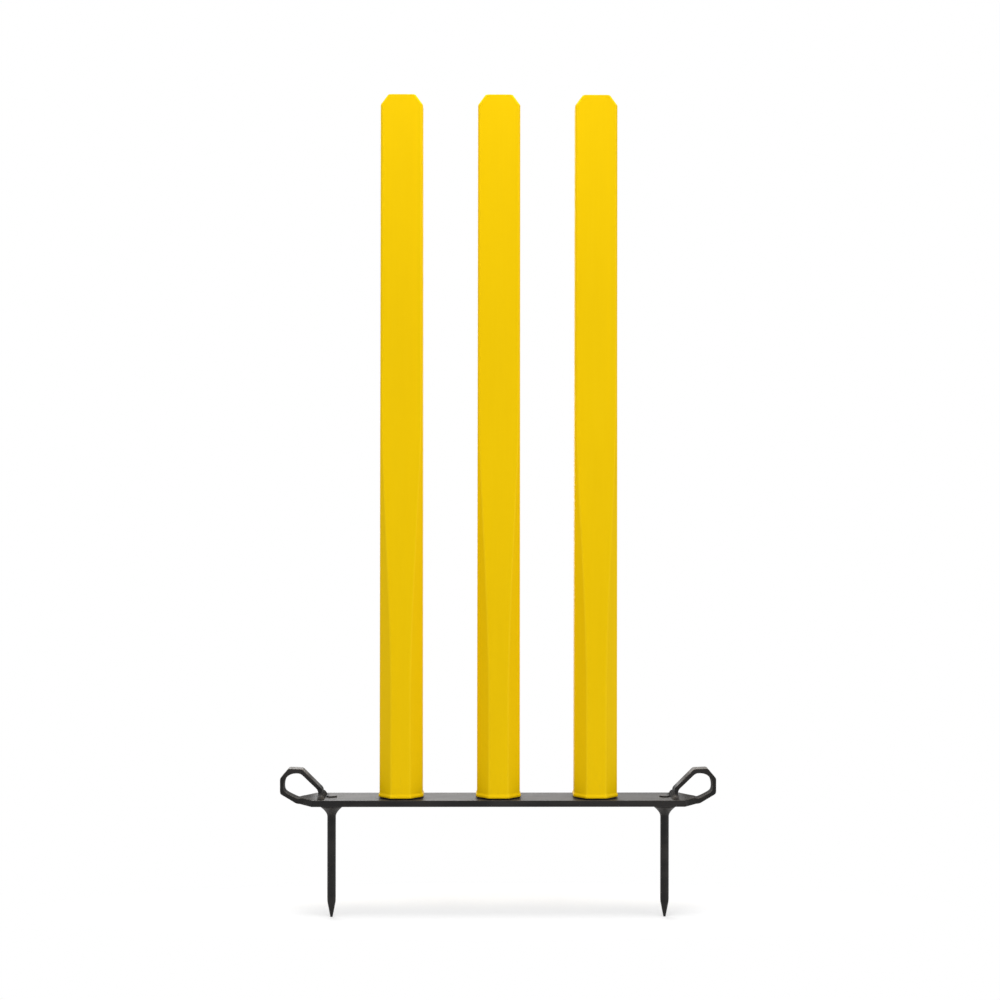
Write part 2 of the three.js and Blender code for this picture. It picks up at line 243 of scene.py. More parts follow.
def closedSurface(grid, endless=False, **measures):
    # Rings joined by quads. Open ends close with a fan to the end ring's middle, and where the grid is
    # endless the last ring meets the first. The faces are turned over when the volume, a sum of tetrahedra
    # to the origin, is negative.
    rows, columns, _ = grid.shape
    points = grid.reshape(-1, 3)
    faces = gridFaces(rows, columns, endless)
    triangles = np.zeros((0, 3), int)
    size = (rows, columns)
    values = {name: np.broadcast_to(value, size).ravel() for name, value in measures.items()}
    if not endless:
        column = np.arange(columns)
        after = (column + 1) % columns
        low = np.stack([np.full(columns, rows * columns), after, column], -1)
        lastRow = (rows - 1) * columns
        high = np.stack([np.full(columns, rows * columns + 1), lastRow + column, lastRow + after], -1)
        triangles = np.concatenate([low, high])
        points = np.concatenate([points, grid[[0, -1]].mean(1)])
        ends = {name: value.reshape(size)[[0, -1]].mean(1) for name, value in values.items()}
        values = {name: np.concatenate([value, ends[name]]) for name, value in values.items()}
    split = np.concatenate([faces[:, [0, 1, 2]], faces[:, [0, 2, 3]], triangles])
    a, b, c = (points[split[:, k]] for k in range(3))
    if np.einsum("ij,ij->i", a, np.cross(b, c)).sum() < 0:
        faces, triangles = faces[:, ::-1], triangles[:, ::-1]
    values["up"] = facingUp(points, faces)
    return points, faces, triangles, values


def makePiece(name, skins, body, slot, replaced):
    # One mesh from several closed skins, in metres, with its measures kept as point attributes. A piece
    # without a body is not attached to one.
    starts = np.cumsum([0] + [len(skin[0]) for skin in skins[:-1]])
    points = np.concatenate([skin[0] for skin in skins]) * mm
    faces = []
    for start, (_, quads, triangles, _) in zip(starts, skins):
        faces += (quads + start).tolist() + (triangles + start).tolist()
    mesh = bpy.data.meshes.new(name)
    mesh.from_pydata(points.tolist(), [], faces)
    for measure in sorted({key for skin in skins for key in skin[3]}):
        parts = [skin[3].get(measure, np.zeros(len(skin[0]))) for skin in skins]
        attribute = mesh.attributes.new(measure, "FLOAT", "POINT")
        attribute.data.foreach_set("value", np.concatenate(parts).astype(np.float32))
    mesh.materials.append(finishes[slot])
    mesh.shade_smooth()
    mesh.validate()
    piece = addObject(name, mesh)
    weighted = piece.modifiers.new("even shading", "WEIGHTED_NORMAL")
    weighted.mode = "FACE_AREA"
    weighted.weight = surface["shadingWeight"]
    weighted.keep_sharp = True
    if body:
        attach(piece, body)
    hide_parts(replaced)
    return piece


def roundCorners(before, corner, after, cut, steps):
    # A corner gives way to a parabola that starts and ends a cut away from it, nearly halfway to its
    # neighbour at most: corner + (1 - t)^2 (start - corner) + t^2 (end - corner).
    def leg(side):
        length = np.linalg.norm(side, axis=-1, keepdims=True)
        return side / length * np.minimum(np.asarray(cut)[..., None], surface["mostOfSideShare"] * length)

    start, end = leg(before - corner)[..., None, :], leg(after - corner)[..., None, :]
    t = np.linspace(0, 1, steps + 1)[:, None]
    return corner[..., None, :] + (1 - t) ** 2 * start + t**2 * end


def roundRings(corners, cut, steps=4):  # closed rings of corners, shape (rings, corners, dimensions)
    made = roundCorners(np.roll(corners, 1, 1), corners, np.roll(corners, -1, 1), cut, steps)
    return made.reshape(len(corners), -1, corners.shape[-1])


def roundLine(corners, cuts, steps=4):  # an open line of corners whose ends stay
    line = np.array(corners, float)
    cuts = np.broadcast_to(cuts, len(line) - 2)
    made = roundCorners(line[:-2], line[1:-1], line[2:], cuts, steps).reshape(-1, line.shape[1])
    return np.concatenate([line[:1], made, line[-1:]])


def distinct(line):  # without points that repeat the one before
    return line[np.r_[True, np.linalg.norm(np.diff(line, axis=0), axis=1) > surface["sameWithin"]]]


def refine(line, step):  # points added so that none lies more than a step from the next
    lengths = np.linalg.norm(np.diff(line, axis=0), axis=1)
    counts = np.maximum(np.ceil(lengths / step), 1).astype(int)
    starts = np.repeat(np.arange(len(lengths)), counts)
    order = np.arange(counts.sum()) - np.repeat(np.cumsum(counts) - counts, counts)
    share = (order / counts[starts])[:, None]
    return np.concatenate([line[starts] * (1 - share) + line[starts + 1] * share, line[-1:]])


def fullTurn(count):  # angles, evenly apart
    return np.linspace(0, 2 * np.pi, count, endpoint=False)


def turned(profile, centre, axis, around):
    # A line of (radius, height) turned round an axis: x = radius cos, y = radius sin, z = height.
    angle = fullTurn(around)
    radius, height = profile[:, :1], profile[:, 1:2]
    x, y = radius * np.cos(angle), radius * np.sin(angle)
    z = height + 0 * angle
    return np.stack({"Z": [x, y, z], "Y": [y, z, x]}[axis], -1) + centre


def turnedSurface(corners, values, centre, axis):  # a line of corners, rounded and turned
    profile = distinct(roundLine(corners, values["cuts"], values["cutSteps"]))
    return closedSurface(turned(profile, centre, axis, values["around"]), edge=values["wear"])


def tubeAlong(path, across, radius, around):
    # A circle carried along a path: point + radius (cos n + sin b), where n is the part of a given
    # direction that is square to the path and b is square to both.
    tangent = np.gradient(path, axis=0)
    tangent /= np.linalg.norm(tangent, axis=1, keepdims=True)
    normal = across - (across * tangent).sum(1, keepdims=True) * tangent
    normal /= np.linalg.norm(normal, axis=1, keepdims=True)
    binormal = np.cross(tangent, normal)
    angle = fullTurn(around)[:, None]
    ring = np.cos(angle) * normal[:, None] + np.sin(angle) * binormal[:, None]
    return path[:, None] + np.asarray(radius)[:, None, None] * ring


def smoothRise(value, low, high):  # 3t^2 - 2t^3 between low and high
    t = np.clip((value - low) / (high - low), 0, 1)
    return t * t * (3 - 2 * t)


def travelled(path):  # how far along its length each point lies
    return np.r_[0, np.cumsum(np.linalg.norm(np.diff(path, axis=0), axis=1))]


def softened(line, spread):
    # The line's average along its length under a bell curve exp(-(distance / spread)^2 / 2).
    perSpread, aside = surface["stepsPerSpread"], surface["spreadsAside"]
    place = travelled(line)
    fine = np.arange(-aside * spread, place[-1] + aside * spread, spread / perSpread)
    distance = np.arange(-aside * perSpread, aside * perSpread + 1) / perSpread
    bell = np.exp(-(distance**2) / 2)
    soft = [np.convolve(np.interp(fine, place, row), bell / bell.sum(), "same") for row in line.T]
    return np.stack([np.interp(place, fine, row) for row in soft], -1)


# Finishes

# patterns: stretch, millimetres across a blotch, detail, roughness of the noise
# spans: the values between which a mask rises from 0 to 1
# shades: the two colours that the finish drifts between
# layers: colour, and how strongly it covers what lies under it
# roughness and relief: how much of each part is added; a depth is in millimetres

plastic = {
    "patterns": {
        "cloudy": ((1, 1, 0.25), 38, 3, 0.55),
        "flow": ((1, 1, 0.02), 2.4, 2, 0.55),
        "grain": ((1, 1, 1), 0.55, 3, 0.6),
        "dull": ((1, 1, 0.6), 9, 4, 0.55),
        "rubbed": ((1, 1, 0.35), 3.2, 5, 0.7),
    },
    "spans": {"rubbed": (0.52, 0.75), "flow": (0.35, 0.75)},
    "shades": [(0.82, 0.525, 0.0), (0.88, 0.575, 0.0)],
    "layers": {
        "flow": ((0.95, 0.66, 0.01), 0.06),
        "edge": ((0.93, 0.64, 0.01), 0.25),
        "scuff": ((0.42, 0.28, 0.02), 0.12),
    },
    "roughness": {"plain": 0.36, "dull": 0.14, "scuff": 0.12, "edge": -0.05},
    "relief": {"depth": 0.035, "strength": 0.5, "grain": 0.7, "flow": 0.3},
    "specular": 0.06,
}


def yellowPlastic():  # flow lines run up the stump from the mould, and the foot is scuffed
    recipe = Recipe(bpy.data.materials.new("yellow plastic"), plastic)
    cloudy, flow, grain, dull, rubbed = recipe.patterns()
    edge = recipe.measure("edge")
    scuff = recipe.measure("low") * recipe.mask("rubbed", rubbed)
    shade = recipe.mix(cloudy, *plastic["shades"])
    shade = recipe.layer("flow", recipe.mask("flow", flow), shade)
    shade = recipe.layer("edge", edge, shade)
    shade = recipe.layer("scuff", scuff, shade)
    return recipe.finish(
        Base_Color=shade,
        Roughness=recipe.summed("roughness", dull=dull, scuff=scuff, edge=edge),
        Normal=recipe.bump(grain=grain, flow=flow),
        Specular_IOR_Level=plastic["specular"],
    )


coat = {
    "patterns": {
        "streaks": ((0.03, 1, 0.03), 6.5, 5, 0.7),
        "scratches": ((0.05, 1, 0.05), 1.2, 3, 0.6),
        "cloudy": ((0.5, 1, 1), 11, 4, 0.55),
        "grain": ((1, 1, 1), 0.7, 4, 0.6),
        "dents": ((0.6, 1, 1), 7, 2, 0.55),
        "chips": ((1, 1, 1), 1.7, 5, 0.7),
        "patches": ((0.16, 0.6, 0.6), 9, 3, 0.6),
    },
    "spans": {
        "patches": (0.3, 0.7),
        # weld: how the painted shade round the tail's weld fades out
        "weld": (0.3, 1.1),
        "loops": (181, 192),  # millimetres out from the middle
        "loopTops": (25, 34),  # millimetres up from the bar's underside
        "up": (0.3, 0.9),
        "dust": (0.25, 0.65),
        # rubbed: the loops' tops, rubbed bare in places and partly painted sheen
        "rubbed": (0.35, 0.6),
        "worn": (0.78, 1.24),
        # forged: painted light on the spike's flare
        "forged": (0.35, 0.65),
        "scratches": (0.5, 0.8),
    },
    "creaseShadeSheenShare": 0.9,  # of the dust and painted sheen, taken away under the painted crease shade
    "sheenAndDustShare": 0.8,  # of the dust and painted sheen, where there is no patch
    "edgeWear": 0.8,
    "shades": [(0.012, 0.0115, 0.0115), (0.034, 0.031, 0.029)],
    "layers": {
        # painted light on the upper part of the spike's flare and its rim
        "forged": ((0.07, 0.064, 0.058), 0.7),
        "dust": ((0.052, 0.044, 0.036), 1.0),
        # dust and a haze on what faces up, partly painted sheen
        "sheenAndDustHaze": ((0.034, 0.032, 0.031), 0.3),
        "scratches": ((0.10, 0.088, 0.075), 0.4),
        # loopTops: painted sheen on the loops' tops, partly rubbed wear
        "loopTops": ((0.19, 0.17, 0.15), 0.8),
        "worn": ((0.17, 0.15, 0.13), 0.5),
        # painted shade in the crease where a loop's tail meets the bar
        "creaseShade": ((0.004, 0.004, 0.004), 0.75),
    },
    "roughness": {
        "plain": 0.33,
        "scratches": 0.16,
        "cloudy": 0.10,
        "worn": 0.12,
        "creaseShade": 0.2,
        "loopSides": 0.3,
    },
    "relief": {"depth": 0.09, "strength": 0.55, "grain": 0.35, "dents": 1.4, "scratches": 0.25},
    "specular": 0.16,
}
# the middle of the painted shade where a loop's tail meets the bar, and how far it reaches
creaseShadeMark = {"x": 177.0, "y": 7.0, "z": 11.0, "reach": 8.5, "depth": 27.0}


def coatedSteel():
    # Black coat with dust, painted sheen and scratches on what faces up, worn edges, and painted shade where
    # each loop's tail meets the bar, fading out with the sum of the squares of the ways from its middle,
    # each in parts of its reach.
    recipe = Recipe(bpy.data.materials.new("black coated steel"), coat)
    streaks, scratches, cloudy, grain, dents, chips, patches = recipe.patterns()
    patches = recipe.mask("patches", patches)
    x, y, z = recipe.parts(recipe.place())
    out = x.maths("ABSOLUTE")
    fromWeld = (out - creaseShadeMark["x"]) * (1 / creaseShadeMark["reach"])
    besideWeld = (y - creaseShadeMark["y"]) * (1 / creaseShadeMark["depth"])
    overWeld = (z - creaseShadeMark["z"]) * (1 / creaseShadeMark["reach"])
    away = fromWeld * fromWeld + besideWeld * besideWeld + overWeld * overWeld
    # painted shade in the crease where the tail meets the bar, round its weld
    creaseShade = 1 - recipe.mask("weld", away)
    looped = recipe.mask("loops", out)
    high = recipe.mask("loopTops", z)
    sheenAndDust = recipe.mask("up", recipe.measure("up")) * (1 - creaseShade * coat["creaseShadeSheenShare"])
    sheenAndDustShare = coat["sheenAndDustShare"] + patches * (1 - coat["sheenAndDustShare"])
    worn = recipe.mask("worn", recipe.measure("edge") * coat["edgeWear"] + chips)
    shade = recipe.mix(cloudy * patches, *coat["shades"])
    # painted light on the upper part of the spike's flare and its rim
    shade = recipe.layer("forged", recipe.measure("forged") * recipe.mask("forged", grain), shade)
    # dust and a haze on what faces up, partly painted sheen, then scratches
    shade = recipe.layer("dust", sheenAndDust * recipe.mask("dust", streaks) * sheenAndDustShare, shade)
    shade = recipe.layer("sheenAndDustHaze", sheenAndDust * (1 - patches), shade)
    shade = recipe.layer("scratches", sheenAndDust * recipe.mask("scratches", scratches), shade)
    # painted sheen on the loops' tops, partly rubbed wear
    shade = recipe.layer("loopTops", sheenAndDust * looped * high * recipe.mask("rubbed", chips), shade)
    shade = recipe.layer("worn", worn, shade)
    # painted shade in the crease where the tail meets the bar
    shade = recipe.layer("creaseShade", creaseShade, shade)
    rough = {"scratches": scratches, "cloudy": cloudy, "worn": worn, "creaseShade": creaseShade}
    return recipe.finish(
        Base_Color=shade,
        Roughness=recipe.summed("roughness", **rough, loopSides=looped * (1 - high)),
        Normal=recipe.bump(grain=grain, dents=dents, scratches=scratches),
        Specular_IOR_Level=coat["specular"],
    )


zinc = {
    "patterns": {"spangle": ((1, 1, 1), 1.1, 3, 0.55), "stain": ((1, 1, 1), 3.4, 4, 0.65)},
    "shades": [(0.40, 0.41, 0.42), (0.56, 0.55, 0.51)],
    "layers": {"edge": ((0.72, 0.72, 0.71), 0.4)},
    "roughness": {"plain": 0.26, "spangle": 0.18, "stain": 0.08},
    "relief": {"depth": 0.02, "strength": 0.5, "spangle": 1},
}


def zincSteel():  # stained zinc, brighter on edges
    recipe = Recipe(bpy.data.materials.new("zinc plated steel"), zinc)
    spangle, stain = recipe.patterns()
    shade = recipe.mix(stain, *zinc["shades"])
    return recipe.finish(
        Base_Color=recipe.layer("edge", recipe.measure("edge"), shade),
        Metallic=1.0,
        Roughness=recipe.summed("roughness", spangle=spangle, stain=stain),
        Normal=recipe.bump(spangle=spangle),
    )


wire = {
    "patterns": {"drawn": ((1, 1, 1), 0.5, 4, 0.6), "oil": ((1, 1, 1), 4.5, 3, 0.55)},
    "shades": [(0.12, 0.122, 0.125), (0.24, 0.235, 0.22)],
    "layers": {"bands": ((0.30, 0.27, 0.21), 0.3)},
    "bandRate": 0.21,  # radians for each millimetre along the wire
    "roughness": {"plain": 0.22, "drawn": 0.12, "oil": 0.14},
    "relief": {"depth": 0.012, "strength": 0.4, "drawn": 1},
}


def springSteel():  # oiled wire with faint bands along it, (sine + 1) / 2
    recipe = Recipe(bpy.data.materials.new("oiled spring wire"), wire)
    drawn, oil = recipe.patterns()
    bands = (recipe.measure("along") * wire["bandRate"]).maths("SINE") * 0.5 + 0.5
    shade = recipe.mix(oil, *wire["shades"])
    return recipe.finish(
        Base_Color=recipe.layer("bands", bands * oil, shade),
        Metallic=1.0,
        Roughness=recipe.summed("roughness", drawn=drawn, oil=oil),
        Normal=recipe.bump(drawn=drawn),
    )


rubber = {
    "patterns": {"grain": ((1, 1, 1), 0.45, 4, 0.65), "dust": ((1, 1, 1), 6, 4, 0.6)},
    "spans": {"dust": (0.4, 0.85)},
    "shades": [(0.0105, 0.0105, 0.011), (0.032, 0.031, 0.029)],
    "roughness": {"plain": 0.68, "dust": 0.2},
    "relief": {"depth": 0.05, "strength": 0.6, "grain": 1},
    "specular": 0.3,
}


def blackRubber():  # matt and grainy, with dust
    recipe = Recipe(bpy.data.materials.new("black rubber"), rubber)
    grain, dust = recipe.patterns()
    return recipe.finish(
        Base_Color=recipe.mix(recipe.mask("dust", dust), *rubber["shades"]),
        Roughness=recipe.summed("roughness", dust=dust),
        Normal=recipe.bump(grain=grain),
        Specular_IOR_Level=rubber["specular"],
    )


finishes = {  # by the names of the record's material slots
    "yellow_plastic": yellowPlastic(),
    "coated_steel": coatedSteel(),
    "zinc_steel": zincSteel(),
    "spring_steel": springSteel(),
    "rubber": blackRubber(),
}
print("Finishes made:", ", ".join(finishes))


# Stumps

stump = {
    "top": 711.2,
    "footAcross": 43.0,
    "footFlat": 19.4,
    "headAcross": 42.4,
    "bladeThickness": 20.0,
    "bladeEdge": 1.8,  # least width of the slanted sides, seen from the front
    "edgeSoftness": 0.35,  # of the soft minimum
    "leanFrom": 100.0,
    "leanTo": 455.0,
    "wall": 3.0,
    "chamferWidth": 7.6,
    "chamferHeight": 10.3,
    "seat": 7.65,  # how high the foot's rim stands, just over the pad
    "lipProud": 1.0,  # past the octagon
    "lipBand": 0.7,  # its upright part, above its rounding
    "lipSlope": 1.9,  # height over which it runs back
    "ceilingInset": 4.0,  # from the hollow's wall to the ceiling's first ring
    "headInset": 6.0,  # from the head's rim to the ring next to its middle
    # roundings along the line from the ceiling to the head
    "ceilingCut": 1.2,
    "rimCut": 0.5,
    "lipRound": 1.5,
    "lipCut": 0.7,
    "slopeCut": 0.9,
    "chamferCut": 1.0,
    "headCut": 0.9,
    # roundings of the eight edges, and what they lose towards the blade
    "edgeCut": 1.5,
    "hollowCut": 0.8,
    "bladeLossShare": 0.45,
    "cutSteps": 5,
    "lineStep": 5.0,
    # wear of the head's rim, as heights below the top, and scuffs at the foot
    "headWear": 0.4,
    "headWearFrom": 1.2,
    "headWearTo": 0.3,
    "headWearInset": 1.0,
    "scuffed": (10, 60),
}
boss = {
    "diameter": 13.0,
    "length": 8.0,
    "bore": 6.6,
    "boreDepth": 6.0,
    "cuts": [0.8, 0.5, 0.3],
    "cutSteps": 3,
    "around": 40,
    "wear": 0,
}


def halfDepth(height):  # eases from the foot's half to the blade's half
    lean = smoothRise(height, stump["leanFrom"], stump["leanTo"])
    return stump["footAcross"] / 2 * (1 - lean) + stump["bladeThickness"] / 2 * lean


def octagon(height, grow, narrowed):
    # Eight corners at each height: the front flat ends where a 45-degree plane cuts it, which stays put
    # while the front leans in. A soft minimum, -s log(exp(-a / s) + exp(-b / s)), keeps a narrow edge at
    # the blade.
    width = np.interp(height, [0, stump["top"]], [stump["footAcross"] / 2, stump["headAcross"] / 2])
    width = width - narrowed + grow
    depth = halfDepth(height) + grow
    plane = (stump["footAcross"] + stump["footFlat"]) / 2 + grow * math.sqrt(2)
    softness = stump["edgeSoftness"]
    wide, kept = plane - depth, width - stump["bladeEdge"]
    flat = -softness * np.logaddexp(-wide / softness, -kept / softness)
    side = depth - (width - flat)
    x = np.stack([flat, width, width, flat, -flat, -width, -width, -flat], -1)
    y = np.stack([-depth, -side, side, depth, depth, side, -side, -depth], -1)
    return np.stack([x, y], -1)


def stumpLine():
    # (height, growth, narrowing) from the hollow's ceiling, down its wall, round the rim and lip, and up
    # to the head.
    s = stump
    lipTop = s["seat"] + s["lipRound"] + s["lipBand"]
    chamferFoot = s["top"] - s["chamferHeight"]
    ceiling = chamferFoot - s["wall"]
    corners = [
        (ceiling, -s["wall"] - s["ceilingInset"], 0),
        (ceiling, -s["wall"], 0),
        (s["leanTo"], -s["wall"], 0),
        (s["leanFrom"], -s["wall"], 0),
        (s["seat"], -s["wall"], 0),
        (s["seat"], s["lipProud"], 0),
        (lipTop, s["lipProud"], 0),
        (lipTop + s["lipSlope"], 0, 0),
        (s["leanFrom"], 0, 0),
        (s["leanTo"], 0, 0),
        (chamferFoot, 0, 0),
        (s["top"], 0, s["chamferWidth"]),
        (s["top"], -s["headInset"], s["chamferWidth"]),
    ]
    lower = [s["ceilingCut"], 0, 0, s["rimCut"], s["lipRound"], s["lipCut"], s["slopeCut"]]
    upper = [0, 0, s["chamferCut"], s["headCut"]]
    return refine(distinct(roundLine(corners, lower + upper, s["cutSteps"])), s["lineStep"])


def acrossEdges(ring, corners):  # wear on each rounded edge: the sine of the way across it, from 0 to pi
    count = corners.shape[1]
    return np.tile(np.sin(np.linspace(0, np.pi, ring.shape[1] // count)), count)


def stumpSurface(centre):
    # The octagon at each height of the line, with its eight corners rounded.
    s = stump
    height, grow, narrowed = stumpLine().T
    corners = octagon(height, grow, narrowed)
    inside = grow < -s["wall"] / 2
    hollow = inside & (height < s["top"] - s["wall"])
    cut = np.where(hollow, s["hollowCut"], s["edgeCut"])
    cut = cut * (1 - s["bladeLossShare"] * smoothRise(height, s["leanFrom"], s["leanTo"]))
    ring = roundRings(corners, np.repeat(cut[:, None], corners.shape[1], 1), s["cutSteps"])
    grid = np.concatenate([ring, np.broadcast_to(height[:, None, None], (*ring.shape[:2], 1))], -1)
    edge = np.where(inside[:, None], 0, acrossEdges(ring, corners)[None, :])
    headWorn = smoothRise(height, s["top"] - s["headWearFrom"], s["top"] - s["headWearTo"])
    headWorn = headWorn * (grow > -s["headWearInset"])
    edge = np.maximum(edge, s["headWear"] * headWorn[:, None])
    low = 1 - smoothRise(height, *s["scuffed"])
    return closedSurface(grid + [centre, 0, 0], edge=edge, low=low[:, None])


def bossSurface(centre):
    # A sleeve with a blind bore, turned round an axis along Y. It starts halfway into the front wall.
    wallInside = stump["wall"] - stump["footAcross"] / 2
    start, end = wallInside - stump["wall"] / 2, wallInside + boss["length"]
    outer, bore, bottom = boss["diameter"] / 2, boss["bore"] / 2, end - boss["boreDepth"]
    corners = [(outer, start), (outer, end), (bore, end), (bore, bottom), (poleRadius, bottom)]
    return turnedSurface(corners, boss, (centre, 0, pinHeight), "Y")


def makeStumps():
    for name, centre in stumpPlaces.items():
        skins = [stumpSurface(centre), bossSurface(centre)]
        makePiece(f"{name}_stump_body", skins, f"{name}_post", "yellow_plastic", f"{name}_stump")


makeStumps()
print("Stumps made")


# Bar and carrying loops

bar = {
    "length": 371.0,
    "thickness": barTop,
    "depth": 50.0,
    "edgeCut": 0.6,
    "mostCutShare": 0.3,  # of the thickness
    "edgeSteps": 5,
    "stations": 61,
    "wear": 0.55,
    "loopWear": 0.45,  # added on the loops
    "loopWearFrom": (-2, 12),  # past the shoulder
}
loop = {
    "stripThickness": 3.6,
    "stripDepth": 15.0,
    "reach": 33.3,  # past the bar's shoulder
    "height": 35.5,
    "root": 12.0,  # its line starts this far inside the bar's shoulder
    "shoulderGap": 0.05,  # its own stations start this far past it
    "shoulderLap": 0.01,  # it begins to narrow this far before it
    # outer corners: share of the reach past the shoulder, share of the height, share of the strip's
    # thickness
    "cornerShares": [
        (0.395, 0, 1.5), (0.51, 0.014, 1.3), (0.985, 0.281, 1.04), (1, 0.35, 1.04),
        (1, 0.72, 1), (0.748, 1, 1.28), (0.334, 0.985, 1.18), (-0.27, 0.4225, 1.06),
    ],
    "outerCut": 1.6,
    "innerCuts": [3.0, 9.0, 9.0, 9.0, 9.0, 9.0, 3.5, 3.5],
    "cutSteps": 8,
    "straightStations": 6,
    "innerSoftness": 2.6,  # spread of the bell curve along the inner line
    "softFrom": (0.8, 1.8),  # corners from the root between which the softening sets in
    "softTo": (5.1, 6.0),
    "footSpread": 42.0,  # depth of the tail where it meets the bar
    "footSink": 0.4,  # of the tail's end into the bar
}
weld = {
    "radius": 3.4,
    "height": 3.8,
    "shift": 0.6,  # from the tail's outer line towards the loop
    "stations": 118,
    "around": 24,
    "endFade": 0.97,  # below 1, so that the ends keep some size
    "ripple": 0.05,
    "ripplePitch": 1.7,
    "waver": 0.03,
    "waverRate": 2.9,  # radians a millimetre
    "waverStart": 1.0,
    "footPower": 1.6,
    "wear": 0.6,
}


def sideways(corners, distances):
    # Corners moved to the left of the way they go: corner + distance * left / cosine of half the turn.
    runs = np.diff(corners, axis=0)
    runs /= np.linalg.norm(runs, axis=1, keepdims=True)
    into, out = np.concatenate([runs[:1], runs]), np.concatenate([runs, runs[-1:]])
    along = into + out
    along /= np.linalg.norm(along, axis=1, keepdims=True)
    left = np.stack([-along[:, 1], along[:, 0]], -1)
    return corners + left * (distances / (along * into).sum(1))[:, None]


def loopLines():
    # The outer and inner line of the right loop in the plane across the bar, station by station. The inner
    # line is the outer one moved sideways by the strip's thickness.
    shoulder = bar["length"] / 2
    shares = np.array(loop["cornerShares"])
    outer = np.stack([shoulder + shares[:, 0] * loop["reach"], shares[:, 1] * loop["height"]], -1)
    thickness = shares[:, 2] * loop["stripThickness"]
    thickness[0] = bar["thickness"]
    foot = [[outer[-1, 0], bar["thickness"] - loop["footSink"]]]
    outer = np.concatenate([[[shoulder - loop["root"], 0]], outer, foot])
    thickness = np.concatenate([[bar["thickness"]], thickness, thickness[-1:]])
    inner = sideways(outer, thickness)
    inner[0] = (outer[0, 0], bar["thickness"])
    steps = loop["cutSteps"]
    outerLine = roundLine(outer, loop["outerCut"], steps)
    innerLine = roundLine(inner, loop["innerCuts"], steps)
    corner = (np.arange(len(innerLine)) - 1 - steps / 2) / (steps + 1)
    soft = (smoothRise(corner, *loop["softFrom"]) * (1 - smoothRise(corner, *loop["softTo"])))[:, None]
    innerLine = softened(innerLine, loop["innerSoftness"]) * soft + innerLine * (1 - soft)
    order = np.arange(len(outerLine), dtype=float)
    straight = np.linspace(0, 1, loop["straightStations"] + 2)[1:-1]
    added = [k + t for k in range(0, len(outerLine) - 1, steps + 1) for t in straight]
    place = np.sort(np.r_[order, added])
    rows = np.concatenate([outerLine, innerLine], 1).T
    outerX, outerZ, innerX, innerZ = (np.interp(place, order, row) for row in rows)
    return np.stack([outerX, outerZ], -1), np.stack([innerX, innerZ], -1)


def halfDepths(outer):
    # Full depth up to the shoulder, narrowing straight to the strip's depth, and spreading again at the
    # foot.
    shoulder = bar["length"] / 2
    neckEnd = shoulder + loop["cornerShares"][0][0] * loop["reach"]
    footTop = loop["cornerShares"][-1][1] * loop["height"]
    full, strip, foot = bar["depth"] / 2, loop["stripDepth"] / 2, loop["footSpread"] / 2
    x, z = outer.T
    narrow = np.interp(x, [shoulder - loop["shoulderLap"], neckEnd], [full, strip])
    spread = np.interp(z, [bar["thickness"], footTop], [foot, strip])
    return np.where(np.arange(len(outer)) < np.argmax(z), narrow, spread)


def barSurface():
    # One closed skin from loop to loop. Each station is a ring of four rounded corners: the outer and the
    # inner line, each moved half the depth to either side. The left loop is the right one with x turned
    # round.
    outer, inner = loopLines()
    half = halfDepths(outer)
    shoulder = bar["length"] / 2
    middle = np.linspace(-shoulder, shoulder, bar["stations"])
    keep = outer[:, 0] > shoulder + loop["shoulderGap"]
    keep |= np.arange(len(outer)) > len(outer) // 2  # the tail comes back inside the shoulder
    outer, inner, half = outer[keep], inner[keep], half[keep]
    underside = np.stack([middle, 0 * middle], -1)
    top = underside + [0, bar["thickness"]]
    mirror = np.array([-1, 1])
    outer = np.concatenate([outer[::-1] * mirror, underside, outer])
    inner = np.concatenate([inner[::-1] * mirror, top, inner])
    half = np.concatenate([half[::-1], np.full(len(middle), bar["depth"] / 2), half])
    corners = np.zeros((len(outer), 4, 3))
    for k, (line, side) in enumerate(((outer, -1), (outer, 1), (inner, 1), (inner, -1))):
        corners[:, k, 0], corners[:, k, 2] = line[:, 0], line[:, 1]
        corners[:, k, 1] = side * half
    cut = np.minimum(bar["edgeCut"], bar["mostCutShare"] * np.linalg.norm(inner - outer, axis=1))
    ring = roundRings(corners, np.repeat(cut[:, None], corners.shape[1], 1), bar["edgeSteps"])
    nearEnd, farEnd = bar["loopWearFrom"]
    onLoop = smoothRise(np.abs(outer[:, 0]), shoulder + nearEnd, shoulder + farEnd)[:, None]
    return closedSurface(ring, edge=acrossEdges(ring, corners) * (bar["wear"] + bar["loopWear"] * onLoop))


def weldSurface(side):
    # A bead along Y with round ends: radius * sqrt(1 - end^2), rippled by sines along its length. Its
    # section rises with a power of the sine, so that its foot runs out flat on the bar.
    w = weld
    footX = bar["length"] / 2 + loop["cornerShares"][-1][0] * loop["reach"]
    halfLength = loop["footSpread"] / 2
    along = np.linspace(-halfLength, halfLength, w["stations"] + 2)[1:-1]
    end = np.clip((np.abs(along) - halfLength + w["radius"]) / w["radius"], 0, 1)
    ripple = 1 + w["ripple"] * np.sin(along * 2 * np.pi / w["ripplePitch"])
    ripple = ripple + w["waver"] * np.sin(along * w["waverRate"] + w["waverStart"])
    size = (np.sqrt(1 - end**2 * w["endFade"]) * ripple)[:, None]
    angle = fullTurn(w["around"])
    lift = np.sin(angle) * np.abs(np.sin(angle)) ** (w["footPower"] - 1)
    x = side * (footX + w["shift"]) + size * w["radius"] * np.cos(angle)
    z = bar["thickness"] + size * w["height"] * lift
    return closedSurface(np.stack([x, along[:, None] + 0 * x, z], -1), edge=w["wear"])


def makeBar():
    skins = [barSurface(), *[weldSurface(side) for side in sides.values()]]
    makePiece("bar_and_loops", skins, "base", "coated_steel", "base_bar")


makeBar()
print("Bar and loops made")


# Spikes

